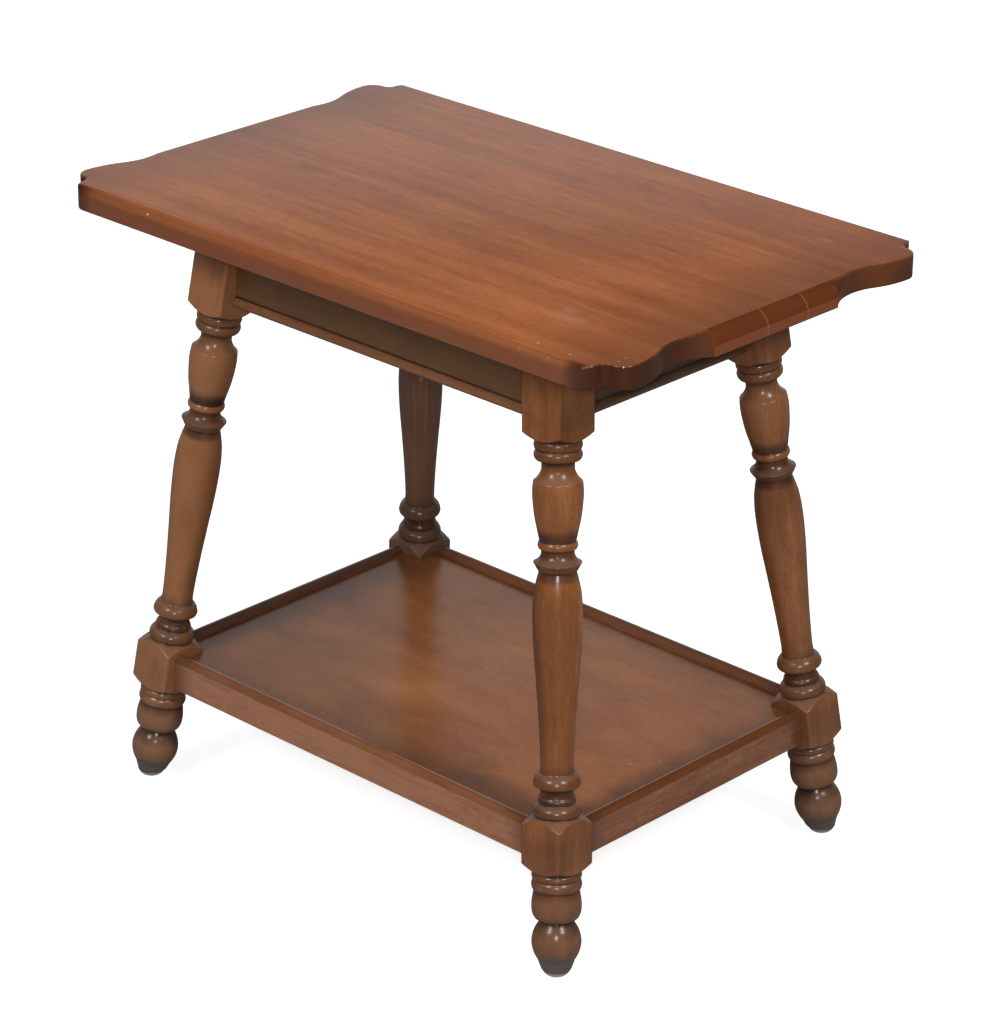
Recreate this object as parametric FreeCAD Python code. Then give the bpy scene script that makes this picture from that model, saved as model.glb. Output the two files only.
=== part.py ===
import FreeCAD, Part
import os

# End table with a shelf: four splayed turned legs, a shaped top, an apron frame and a railed shelf.
# Millimetres. X runs along the length, Y along the depth with the front at -Y, Z up from the floor.

vec = FreeCAD.Vector
up = vec(0, 0, 1)

# Top, glued up from boards counted from the front; the last board takes what is left
table_height = 560.0
top_thickness = 20.6
top_width = 402.0
top_length = 638.0
board_widths = [97.5, 91.5, 49.0, 58.0]

# Shaped ends of the top: corner, cove, lobe, waist and a tongue with a full rounded edge
corner_radius = 14.0
cove_radius = 6.4
lobe_radius = 14.5
waist_radius = 53.0
waist_depth = 12.5
tongue_inset = 126.0
tongue_round = 12.0
long_edge_round = 6.5
round_fullness = 0.64
arris_round = 1.2
edge_join_tolerance = 0.001

# Legs: how far the axis stands in from the end and the long edge of the top, at the floor and at full height
foot_inset_x = 67.2
foot_inset_y = 28.2
head_inset_x = 133.2
head_inset_y = 90.2
leg_stock = 42.0
leg_corner_round = 1.5

# Apron frame with bead strips under it
apron_height = 69.4
apron_thickness = 19.0
apron_setback = 15.5
bead_height = 9.5
bead_projection = 3.0

# Shelf: rails between the lower blocks, with a panel in their grooves
rail_rise = 6.46
rail_height = 26.5
rail_thickness = 11.5
rail_setback = 11.9
rail_lip = 0.5
panel_thickness = 12.0
panel_groove = 4.0
panel_end_gap = 0.4
panel_leg_gap = 0.5

# Corner braces and their screws
brace_thickness = 20.0
brace_width = 26.0
brace_leg_gap = 3.0
screw_radius = 2.0
screw_head_radius = 4.0
screw_head_height = 2.5
screw_head_clearance = 0.3
screw_bite = 12.5
side_screw_sink = 6.0
top_screw_sink = 7.5

# Dowels
apron_dowel_radius = 4.0
apron_dowel_length = 36.0
rail_dowel_radius = 3.0
rail_dowel_length = 30.0

# Glides
glide_radius = 12.0
glide_flat_radius = 4.0
glide_height = 6.0
glide_rim = 0.6
nail_radius = 1.25
nail_length = 16.0

# Lengths of the leg's turned members; the vase takes what is left
foot_length = 91.2
lower_rings_length = 36.6
collar_length = 25.0
urn_length = 66.8
upper_rings_length = 16.6
lower_block_margin = 9.57
upper_block_margin = 11.3
block_clearance = 0.8

top_underside = table_height - top_thickness
apron_bottom = top_underside - apron_height
half_stock = leg_stock / 2
leg_foot = vec(top_length / 2 - foot_inset_x, top_width / 2 - foot_inset_y, 0)
leg_head = vec(top_length / 2 - head_inset_x, top_width / 2 - head_inset_y, table_height)


def leg_axis(height):
    return leg_foot + (leg_head - leg_foot) * (height / table_height)


leg_length = (leg_axis(table_height) - leg_axis(0)).Length
leg_stretch = leg_length / table_height
rail_bottom = foot_length / leg_stretch + rail_rise
rail_shoulder = rail_bottom + rail_height
panel_top = rail_shoulder - rail_lip
panel_bottom = panel_top - panel_thickness
lower_block_length = (rail_rise + rail_height + rail_thickness / 2) * leg_stretch + lower_block_margin
upper_block_length = (table_height - apron_bottom + bead_height) * leg_stretch + upper_block_margin

apron_outer = leg_axis(apron_bottom) + vec(half_stock - apron_setback, half_stock - apron_setback, 0)
apron_inner = apron_outer - vec(apron_thickness, apron_thickness, 0)
rail_outer = leg_axis(rail_bottom) + vec(half_stock - rail_setback, half_stock - rail_setback, 0)
rail_inner = rail_outer - vec(rail_thickness, rail_thickness, 0)

# Outlines of the turned members: share of the member's length, then depth below the face of the stock.
# A straight stroke has one point, an arc has two and a drawn curve has more.
blank = -half_stock * (2 ** 0.5 - 1) - block_clearance
foot_tip = 11.0
foot = [
    [(0.047, 9.0)],
    [(0.114, 7.4)],
    [(0.155, 5.4), (0.192, 3.4), (0.232, 1.8), (0.274, 0.7), (0.329, 0.2),
     (0.395, 1.1), (0.455, 3.2), (0.5, 5.8), (0.533, 7.4)],
    [(0.541, 4.8)],
    [(0.559, 2.7), (0.598, 0.8), (0.658, 0.1), (0.724, 0.4), (0.784, 1.3), (0.83, 2.2)],
    [(0.837, 0.9)],
    [(0.861, 0.1), (0.928, 1.8)],
    [(0.933, 2.2)],
    [(0.941, 0.7)],
    [(0.957, 0.2), (1.0, 1.8)],
]
lower_block = [
    [(0.148, blank)],
    [(0.818, blank)],
    [(1.0, 2.6)],
]
lower_rings = [
    [(0.016, 1.4)],
    [(0.148, 1.0), (0.279, 5.3)],
    [(0.292, 6.0)],
    [(0.355, 5.2), (0.437, 6.7)],
    [(0.519, 7.4), (0.656, 7.5)],
    [(0.672, 3.1)],
    [(0.7, 1.9), (0.749, 1.3), (0.815, 1.7), (0.888, 2.8), (0.951, 4.6), (1.0, 6.9)],
]
vase = [
    [(0.053, 7.3), (0.223, 6.1), (0.418, 3.9), (0.619, 1.4),
     (0.779, 0.5), (0.889, 1.5), (0.96, 3.9), (1.0, 5.8)],
]
collar = [
    [(0.021, 4.8)],
    [(0.285, 1.1)],
    [(0.397, 5.0), (0.569, 7.4)],
    [(0.729, 7.4)],
    [(0.749, 5.6)],
    [(0.861, 4.6), (1.0, 6.0)],
]
urn = [
    [(0.123, 4.3), (0.301, 1.9), (0.511, 0.4), (0.632, 0.2), (0.741, 0.8)],
    [(0.803, 4.8), (0.887, 7.4)],
    [(1.0, 7.5)],
]
upper_rings = [
    [(0.032, 3.0)],
    [(0.255, 1.2), (0.52, 2.7)],
    [(0.55, 3.4)],
    [(0.586, 2.1)],
    [(0.785, 1.2), (1.0, 2.2)],
]
upper_block = [
    [(0.064, blank)],
    [(1.0, blank)],
]


def arc(start, middle, end):
    return Part.Arc(start, middle, end).toShape()


def turn(centre, start, end):
    radius = (start - centre).Length
    middle = centre + ((start + end) * 0.5 - centre).normalize() * radius
    return arc(start, middle, end)


def curve(points):
    spline = Part.BSplineCurve()
    spline.interpolate(points)
    return spline.toShape()


def lines(points):
    return [Part.makeLine(a, b) for a, b in zip(points, points[1:])]


def solid_between(low, high):
    size = high - low
    return Part.makeBox(size.x, size.y, size.z, low)


def four_ways(back_right):
    back_left = back_right.mirror(vec(), vec(1, 0, 0))
    front_right = back_right.mirror(vec(), vec(0, 1, 0))
    front_left = back_left.mirror(vec(), vec(0, 1, 0))
    return {
        "front_left": front_left,
        "front_right": front_right,
        "back_left": back_left,
        "back_right": back_right,
    }


def front_and_back(back):
    return {"front": back.mirror(vec(), vec(0, 1, 0)), "back": back}


def left_and_right(right):
    return {"left": right.mirror(vec(), vec(1, 0, 0)), "right": right}


def along_leg(shape):
    along = (leg_axis(table_height) - leg_axis(0)).normalize()
    across = (vec(1, 0, 0) - along * along.x).normalize()
    placed = shape.copy()
    lean = FreeCAD.Rotation(across, along.cross(across), along, "ZXY")
    placed.Placement = FreeCAD.Placement(leg_axis(0), lean)
    return placed


def square_stock(side):
    return Part.makeBox(side, side, leg_length + 2 * side, vec(-side / 2, -side / 2, -side))


def clear_of_legs(shape, clearance=0):
    space = along_leg(square_stock(leg_stock + 2 * clearance))
    return shape.cut(list(four_ways(space).values()))


def turned_members():
    fixed_below = foot_length + lower_block_length + lower_rings_length
    fixed_above = collar_length + urn_length + upper_rings_length + upper_block_length
    return [
        (foot, foot_length),
        (lower_block, lower_block_length),
        (lower_rings, lower_rings_length),
        (vase, leg_length - fixed_below - fixed_above),
        (collar, collar_length),
        (urn, urn_length),
        (upper_rings, upper_rings_length),
        (upper_block, upper_block_length),
    ]


def turned_solid():
    here = vec(half_stock - foot_tip, 0, 0)
    edges = [Part.makeLine(vec(), here)]
    start = 0
    for outline, length in turned_members():
        for stroke in outline:
            points = [here] + [vec(half_stock - depth, 0, start + share * length) for share, depth in stroke]
            if len(points) == 2:
                edges.append(Part.makeLine(*points))
            elif len(points) == 3:
                edges.append(arc(*points))
            else:
                edges.append(curve(points))
            here = points[-1]
        start += length
    edges += lines([here, vec(0, 0, here.z), vec()])
    return Part.Face(Part.Wire(edges)).revolve(vec(), up, 360)


def leg():
    stock = square_stock(leg_stock)
    long_edges = [edge for edge in stock.Edges if edge.Length > leg_stock * 2]
    stock = stock.makeFillet(leg_corner_round, long_edges)
    shaped = along_leg(turned_solid().common(stock))
    reach = vec(leg_length, leg_length, 0)
    slab = solid_between(vec(0, 0, glide_height) - reach, vec(0, 0, top_underside) + reach)
    nail_hole = Part.makeCylinder(nail_radius, nail_length, leg_axis(glide_height), up)
    return shaped.common(slab).cut([nail_hole] + corner_apron_dowels() + corner_rail_dowels())


def glide():
    rim = glide_height - glide_rim
    spread = glide_radius - glide_flat_radius
    dome_radius = (spread ** 2 + rim ** 2) / (2 * rim)
    flat_end = vec(glide_flat_radius, 0, 0)
    dome_end = vec(glide_radius, 0, rim)
    nail_top = glide_height + nail_length
    edges = lines([
        dome_end,
        vec(glide_radius, 0, glide_height),
        vec(nail_radius, 0, glide_height),
        vec(nail_radius, 0, nail_top),
        vec(0, 0, nail_top),
        vec(),
        flat_end,
    ])
    edges.append(turn(vec(glide_flat_radius, 0, dome_radius), flat_end, dome_end))
    turned = Part.Face(Part.Wire(edges)).revolve(vec(), up, 360)
    centre = leg_axis(glide_height)
    turned.translate(vec(centre.x, centre.y, 0))
    return turned


def waist_centre():
    x = top_length / 2 - waist_depth + waist_radius
    cusp_y = top_width / 2 - tongue_inset
    y = cusp_y + (waist_radius ** 2 - (waist_radius - waist_depth) ** 2) ** 0.5
    return x, y


def top_quarter(sign_x, sign_y):
    def at(x, y):
        return vec(sign_x * x, sign_y * y, top_underside)

    half_width = top_width / 2
    end_x = top_length / 2
    cusp_y = half_width - tongue_inset
    cove_x = end_x - lobe_radius
    corner_x = cove_x - cove_radius
    straight_x = corner_x - corner_radius
    corner_y = half_width - corner_radius
    cove_y = corner_y - cove_radius
    lobe_y = cove_y - lobe_radius
    waist_x, waist_y = waist_centre()
    step_x = waist_x - end_x
    step_y = lobe_y - waist_y
    ogee_radius = (step_x ** 2 + step_y ** 2 - waist_radius ** 2) / (2 * (waist_radius - step_x))
    ogee_x = end_x - ogee_radius
    share = ogee_radius / (ogee_radius + waist_radius)
    bend = at(ogee_x + (waist_x - ogee_x) * share, lobe_y - step_y * share)
    return [
        Part.makeLine(at(0, half_width), at(straight_x, half_width)),
        turn(at(straight_x, corner_y), at(straight_x, half_width), at(corner_x, corner_y)),
        turn(at(cove_x, corner_y), at(corner_x, corner_y), at(cove_x, cove_y)),
        turn(at(cove_x, lobe_y), at(cove_x, cove_y), at(end_x, lobe_y)),
        turn(at(ogee_x, lobe_y), at(end_x, lobe_y), bend),
        turn(at(waist_x, waist_y), bend, at(end_x, cusp_y)),
        Part.makeLine(at(end_x, cusp_y), at(end_x, 0)),
    ]


def edge_cutter(reach, size, length):
    inner = reach - size
    low = table_height - size
    outside = reach + size
    over = table_height + size
    full = size * round_fullness
    edges = lines([
        vec(reach, 0, low),
        vec(outside, 0, low),
        vec(outside, 0, over),
        vec(inner, 0, over),
        vec(inner, 0, table_height),
    ])
    edges.append(arc(vec(inner, 0, table_height), vec(inner + full, 0, low + full), vec(reach, 0, low)))
    cutter = Part.Face(Part.Wire(edges)).extrude(vec(0, length, 0))
    cutter.translate(vec(0, -length / 2, 0))
    return cutter


def top_slab():
    edges = []
    for sign_x in (1, -1):
        for sign_y in (1, -1):
            edges += top_quarter(sign_x, sign_y)
    outline = Part.Wire(Part.__sortEdges__(edges))
    slab = Part.Face(outline).extrude(vec(0, 0, top_thickness))
    level = [edge for edge in slab.Edges if edge.BoundBox.ZLength < arris_round / 100]
    slab = slab.makeFillet(arris_round, level)
    end_cutter = edge_cutter(top_length / 2, tongue_round, waist_centre()[1] * 2)
    side_cutter = edge_cutter(top_width / 2, long_edge_round, top_length - 2 * lobe_radius)
    side_cutter.rotate(vec(), up, 90)
    cutters = list(left_and_right(end_cutter).values()) + list(front_and_back(side_cutter).values())
    return slab.cut(cutters, edge_join_tolerance)


def top_boards():
    slab = top_slab().cut(list(four_ways(top_screw(screw_head_clearance)).values()))
    boards = {}
    front = -top_width / 2
    for number, width in enumerate(board_widths + [top_width - sum(board_widths)], 1):
        low = vec(-top_length, front, 0)
        high = vec(top_length, front + width, table_height * 2)
        boards["top_board_%d" % number] = slab.common(solid_between(low, high))
        front += width
    return boards


def cut_both_ends(piece, holes, direction):
    return piece.cut(holes + [hole.mirror(vec(), direction) for hole in holes])


def apron_back():
    low = vec(-apron_inner.x, apron_inner.y, apron_bottom)
    board = clear_of_legs(solid_between(low, vec(apron_inner.x, apron_outer.y, top_underside)))
    return cut_both_ends(board, corner_apron_dowels() + [front_screw(screw_head_clearance)], vec(1, 0, 0))


def apron_right():
    low = vec(apron_inner.x, -apron_inner.y, apron_bottom)
    board = clear_of_legs(solid_between(low, vec(apron_outer.x, apron_inner.y, top_underside)))
    return cut_both_ends(board, corner_apron_dowels() + [side_screw(screw_head_clearance)], vec(0, 1, 0))


def strip_along_x(edges, half_length):
    strip = Part.Face(Part.Wire(edges)).extrude(vec(half_length * 2, 0, 0))
    strip.translate(vec(-half_length, 0, 0))
    return strip


def bead_edges(inner, outer):
    low = apron_bottom - bead_height
    radius = bead_height / 2
    nose = outer + bead_projection
    start = vec(0, nose - radius, low)
    end = vec(0, nose - radius, apron_bottom)
    edges = lines([end, vec(0, inner, apron_bottom), vec(0, inner, low), start])
    edges.append(arc(start, vec(0, nose, low + radius), end))
    return edges


def bead_back():
    return clear_of_legs(strip_along_x(bead_edges(apron_inner.y, apron_outer.y), apron_inner.x))


def bead_right():
    strip = strip_along_x(bead_edges(apron_inner.x, apron_outer.x), apron_inner.y)
    strip.rotate(vec(), up, -90)
    return clear_of_legs(strip)


def rail_edges(inner, outer):
    radius = rail_thickness / 2
    groove = inner + panel_groove
    points = [
        vec(0, inner, rail_shoulder),
        vec(0, inner, panel_top),
        vec(0, groove, panel_top),
        vec(0, groove, panel_bottom),
        vec(0, inner, panel_bottom),
        vec(0, inner, rail_bottom),
        vec(0, outer, rail_bottom),
        vec(0, outer, rail_shoulder),
    ]
    return lines(points) + [arc(points[-1], vec(0, outer - radius, rail_shoulder + radius), points[0])]


def rail_back():
    rail = clear_of_legs(strip_along_x(rail_edges(rail_inner.y, rail_outer.y), rail_inner.x))
    return cut_both_ends(rail, corner_rail_dowels(), vec(1, 0, 0))


def rail_right():
    rail = strip_along_x(rail_edges(rail_inner.x, rail_outer.x), rail_inner.y)
    rail.rotate(vec(), up, -90)
    return cut_both_ends(clear_of_legs(rail), corner_rail_dowels(), vec(0, 1, 0))


def shelf_panel():
    seat = panel_groove - panel_end_gap
    corner = vec(rail_inner.x + seat, rail_inner.y + seat, panel_top)
    board = solid_between(vec(-corner.x, -corner.y, panel_bottom), corner)
    return clear_of_legs(board, panel_leg_gap)


def brace_lines():
    corner = leg_axis(top_underside)
    outer = corner.x + corner.y - leg_stock - brace_leg_gap * 2 ** 0.5
    inner = outer - brace_width * 2 ** 0.5
    return outer, (outer + inner) / 2, inner


def brace():
    outer, middle, inner = brace_lines()
    low = top_underside - brace_thickness
    points = [
        vec(apron_inner.x, outer - apron_inner.x, low),
        vec(outer - apron_inner.y, apron_inner.y, low),
        vec(inner - apron_inner.y, apron_inner.y, low),
        vec(apron_inner.x, inner - apron_inner.x, low),
    ]
    block = Part.Face(Part.makePolygon(points + points[:1])).extrude(vec(0, 0, brace_thickness))
    return block.cut([make(screw_head_clearance) for make in (side_screw, front_screw, top_screw)])


def screw(face, direction, grip, clearance):
    seat = face - direction * grip
    head_length = screw_head_height
    if clearance:
        head_length += brace_width
    head_start = seat - direction * head_length
    head = Part.makeCylinder(screw_head_radius + clearance, head_length, head_start, direction)
    shank = Part.makeCylinder(screw_radius, grip + screw_bite, seat, direction)
    return head.fuse(shank).removeSplitter()


def side_screw(clearance=0):
    middle = brace_lines()[1]
    face = vec(apron_inner.x, middle - apron_inner.x, top_underside - brace_thickness / 2)
    return screw(face, vec(1, 0, 0), brace_width * 0.5 ** 0.5 - side_screw_sink, clearance)


def front_screw(clearance=0):
    middle = brace_lines()[1]
    face = vec(middle - apron_inner.y, apron_inner.y, top_underside - brace_thickness / 2)
    return screw(face, vec(0, 1, 0), brace_width * 0.5 ** 0.5 - side_screw_sink, clearance)


def top_screw(clearance=0):
    middle = brace_lines()[1]
    x = (middle + apron_inner.x - apron_inner.y) / 2
    return screw(vec(x, middle - x, top_underside), up, brace_thickness - top_screw_sink, clearance)


def dowel_along_x(y, height, radius, length):
    face = leg_axis(height).x - half_stock
    return Part.makeCylinder(radius, length, vec(face - length / 2, y, height), vec(1, 0, 0))


def dowel_along_y(x, height, radius, length):
    face = leg_axis(height).y - half_stock
    return Part.makeCylinder(radius, length, vec(x, face - length / 2, height), vec(0, 1, 0))


def corner_apron_dowels():
    middle = (apron_inner + apron_outer) * 0.5
    levels = [apron_bottom + apron_height * step / 5 for step in (1, 2, 3, 4)]
    radius = apron_dowel_radius
    length = apron_dowel_length
    into_side = [dowel_along_y(middle.x, level, radius, length) for level in levels[0::2]]
    into_front = [dowel_along_x(middle.y, level, radius, length) for level in levels[1::2]]
    return into_side + into_front


def corner_rail_dowels():
    middle = (rail_inner + rail_outer) * 0.5
    level = (rail_bottom + panel_bottom) / 2
    return [
        dowel_along_x(middle.y, level, rail_dowel_radius, rail_dowel_length),
        dowel_along_y(middle.x, level, rail_dowel_radius, rail_dowel_length),
    ]


def group(shapes):
    solids = []
    for shape in shapes:
        solids += four_ways(shape).values()
    return Part.makeCompound(solids)


def all_nodes():
    nodes = top_boards()
    for name, shape in (("leg", leg()), ("brace", brace()), ("glide", glide())):
        for corner, copy in four_ways(shape).items():
            nodes[name + "_" + corner] = copy
    for name, shape in (("apron", apron_back()), ("bead", bead_back()), ("rail", rail_back())):
        for side, copy in front_and_back(shape).items():
            nodes[name + "_" + side] = copy
    for name, shape in (("apron", apron_right()), ("bead", bead_right()), ("rail", rail_right())):
        for side, copy in left_and_right(shape).items():
            nodes[name + "_" + side] = copy
    nodes["shelf_panel"] = shelf_panel()
    nodes["apron_screws"] = group([side_screw(), front_screw()])
    nodes["top_screws"] = group([top_screw()])
    nodes["apron_dowels"] = group(corner_apron_dowels())
    nodes["rail_dowels"] = group(corner_rail_dowels())
    return nodes


os.makedirs("parts", exist_ok=True)
for name, shape in all_nodes().items():
    print(name, len(shape.Solids), round(shape.Volume), shape.isValid())
    shape.exportStep("parts/%s.step" % name)
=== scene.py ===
import math
import bpy
from mathutils import Matrix, Quaternion, Vector


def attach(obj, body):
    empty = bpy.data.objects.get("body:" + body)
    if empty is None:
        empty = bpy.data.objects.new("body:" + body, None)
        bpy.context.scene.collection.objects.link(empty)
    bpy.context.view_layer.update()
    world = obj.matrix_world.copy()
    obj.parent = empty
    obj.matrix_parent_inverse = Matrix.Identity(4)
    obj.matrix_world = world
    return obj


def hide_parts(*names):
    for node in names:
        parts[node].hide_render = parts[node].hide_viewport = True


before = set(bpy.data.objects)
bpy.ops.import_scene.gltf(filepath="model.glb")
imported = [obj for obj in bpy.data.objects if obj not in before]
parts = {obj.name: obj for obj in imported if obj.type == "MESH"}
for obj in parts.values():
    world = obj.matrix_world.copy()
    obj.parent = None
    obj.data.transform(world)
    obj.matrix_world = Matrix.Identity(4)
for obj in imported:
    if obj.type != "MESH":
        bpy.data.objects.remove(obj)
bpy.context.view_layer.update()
corners = {"front_left": (-1, -1), "front_right": (1, -1), "back_left": (-1, 1), "back_right": (1, 1)}
alongX, alongY, alongZ = (0, 0, 0), (0, 0, math.pi / 2), (0, math.pi / 2, 0)  # turns of the grain
print("frame loaded,", len(parts), "nodes")


def linear(hexColour):  # sRGB hex to linear RGBA
    channels = [int(hexColour[i:i + 2], 16) / 255 for i in (1, 3, 5)]
    return [c / 12.92 if c <= 0.04045 else ((c + 0.055) / 1.055) ** 2.4 for c in channels] + [1.0]


def add(tree, kind, inputs=None, stops=None, **settings):  # one node, its settings and links; inputs by name or order
    made = tree.nodes.new(kind)
    for key, value in settings.items():
        setattr(made, key, value)
    for key, value in (inputs if isinstance(inputs, dict) else dict(enumerate(inputs or []))).items():
        if isinstance(value, bpy.types.NodeSocket):
            tree.links.new(value, made.inputs[key])
        else:
            made.inputs[key].default_value = value
    for i, (place, colour) in enumerate(stops or []):  # colour ramp stops
        ramp = made.color_ramp.elements
        stop = ramp[i] if i < len(ramp) else ramp.new(place)
        stop.position = place
        stop.color = colour
    return made.outputs


def newMaterial(name):
    made = bpy.data.materials.new(name)
    made.use_nodes = True
    made.node_tree.nodes.clear()
    return made, made.node_tree


def dress(material, *names):
    for name in names:
        for slot in parts[name].material_slots:
            slot.material = material


def softSpot(tree, at, middle, size):  # 1 at the middle, fading to 0 at an ellipsoid of that half-size in metres
    placed = add(tree, "ShaderNodeMapping", {"Vector": at, "Location": middle, "Scale": size}, vector_type="TEXTURE")[0]
    far = add(tree, "ShaderNodeVectorMath", [placed], operation="LENGTH")["Value"]
    return add(tree, "ShaderNodeMapRange", [far, 0.0, 1.0, 1.0, 0.0], interpolation_type="SMOOTHSTEP")[0]


def thinLine(tree, value, middle, half):  # 1 where value is near middle, 0 from half away
    core = half * 0.4
    away = add(tree, "ShaderNodeMath", [value, middle], operation="SUBTRACT")[0]
    away = add(tree, "ShaderNodeMath", [away], operation="ABSOLUTE")[0]
    return add(tree, "ShaderNodeMapRange", [away, core, half, 1.0, 0.0])[0]


def overlap(tree, *masks):  # all of the masks at once
    made = masks[0]
    for mask in masks[1:]:
        made = add(tree, "ShaderNodeMath", [made, mask], operation="MULTIPLY", use_clamp=True)[0]
    return made


# Stained maple under satin lacquer: close even grain, soft blotches in the stain, fine pores, a mild mirror-like sheen
maple = {
    "detail": {"streak": 3.0, "fibre": 2.0, "cloud": 2.5, "mottle": 1.5}, "waver": 0.35,  # of each pattern's noise
    "middle": 0.5, "stops": {"dark": 0.2, "middle": 0.5, "light": 0.8},  # the stain's colours along its tone
    "roughClouds": (0.3, 0.7), "roughSwing": (-0.04, 0.05), "poreStrength": 0.2, "poreDepth": 0.00012,
    "ior": 1.5, "bareSheen": 0.1, "arrisRound": 0.003, "arrisSamples": 8, "soakedLacquer": 0.35,
}


def stainedMaple(name, look):
    made, tree = newMaterial(name)
    if look.get("point"):
        at = add(tree, "ShaderNodeAttribute", attribute_name=look["point"])["Vector"]
    else:
        at = add(tree, "ShaderNodeTexCoord")["Object"]
    along = add(tree, "ShaderNodeMapping", {"Vector": at, "Rotation": look["turn"], "Location": look["shift"]})[0]
    grain = {}
    tone = maple["middle"] + look["tone"]
    for pattern, detail in maple["detail"].items():  # noise drawn out along the grain, sizes in metres
        length, width = look[pattern]
        drawnOut = add(tree, "ShaderNodeMapping", {"Vector": along, "Scale": (1 / length, 1 / width, 1 / width)})[0]
        grain[pattern] = add(tree, "ShaderNodeTexNoise", {
            "Vector": drawnOut, "Scale": 1.0, "Detail": detail, "Distortion": maple["waver"]})[0]
        centred = add(tree, "ShaderNodeMath", [grain[pattern], maple["middle"]], operation="SUBTRACT")[0]
        tone = add(tree, "ShaderNodeMath", [centred, look[pattern + "Depth"], tone], operation="MULTIPLY_ADD")[0]
    for middle, size, lift in look["patches"]:  # lighter and darker areas, partly in the stain and partly painted light and shade
        spot = softSpot(tree, at, middle, size)
        tone = add(tree, "ShaderNodeMath", [spot, lift, tone], operation="MULTIPLY_ADD")[0]
    if look.get("toneFrom"):  # a shift carried by the mesh
        shift = add(tree, "ShaderNodeAttribute", attribute_name=look["toneFrom"])["Fac"]
        tone = add(tree, "ShaderNodeMath", [tone, shift], operation="ADD")[0]
    stops = [(place, linear(look[stain])) for stain, place in maple["stops"].items()]
    colour = add(tree, "ShaderNodeValToRGB", [tone], stops=stops)[0]
    if look.get("coats"):
        for mask, shade in look["coats"](tree, at, grain):
            colour = add(tree, "ShaderNodeMix", {0: mask, 6: colour, 7: linear(shade)}, data_type="RGBA")[2]
    smoothest, roughest = [look["rough"] + swing for swing in maple["roughSwing"]]
    rough = add(tree, "ShaderNodeMapRange", [grain["cloud"], *maple["roughClouds"], smoothest, roughest])[0]
    relief = {"Strength": maple["poreStrength"], "Distance": maple["poreDepth"], "Height": grain["fibre"]}
    lacquer = look["lacquer"]
    if look.get("wear"):  # softened arrises, and lacquer soaked in
        edge, bare = look["wear"](tree, at)
        worn = add(tree, "ShaderNodeBevel", {"Radius": maple["arrisRound"]}, samples=maple["arrisSamples"])[0]
        plain = add(tree, "ShaderNodeNewGeometry")["Normal"]
        relief["Normal"] = add(tree, "ShaderNodeMix", {0: edge, 4: plain, 5: worn}, data_type="VECTOR")[1]
        soaked = lacquer * maple["soakedLacquer"]
        lacquer = add(tree, "ShaderNodeMapRange", [bare, 0.0, 1.0, lacquer, soaked])[0]
    bump = add(tree, "ShaderNodeBump", relief)[0]
    shader = add(tree, "ShaderNodeBsdfPrincipled", {
        "Base Color": colour, "Roughness": rough, "IOR": maple["ior"], "Specular IOR Level": maple["bareSheen"],
        "Normal": bump, "Coat Normal": bump, "Coat Weight": lacquer, "Coat Roughness": look["gloss"],
        "Coat IOR": maple["ior"]})[0]
    add(tree, "ShaderNodeOutputMaterial", {"Surface": shader})
    return made
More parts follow.
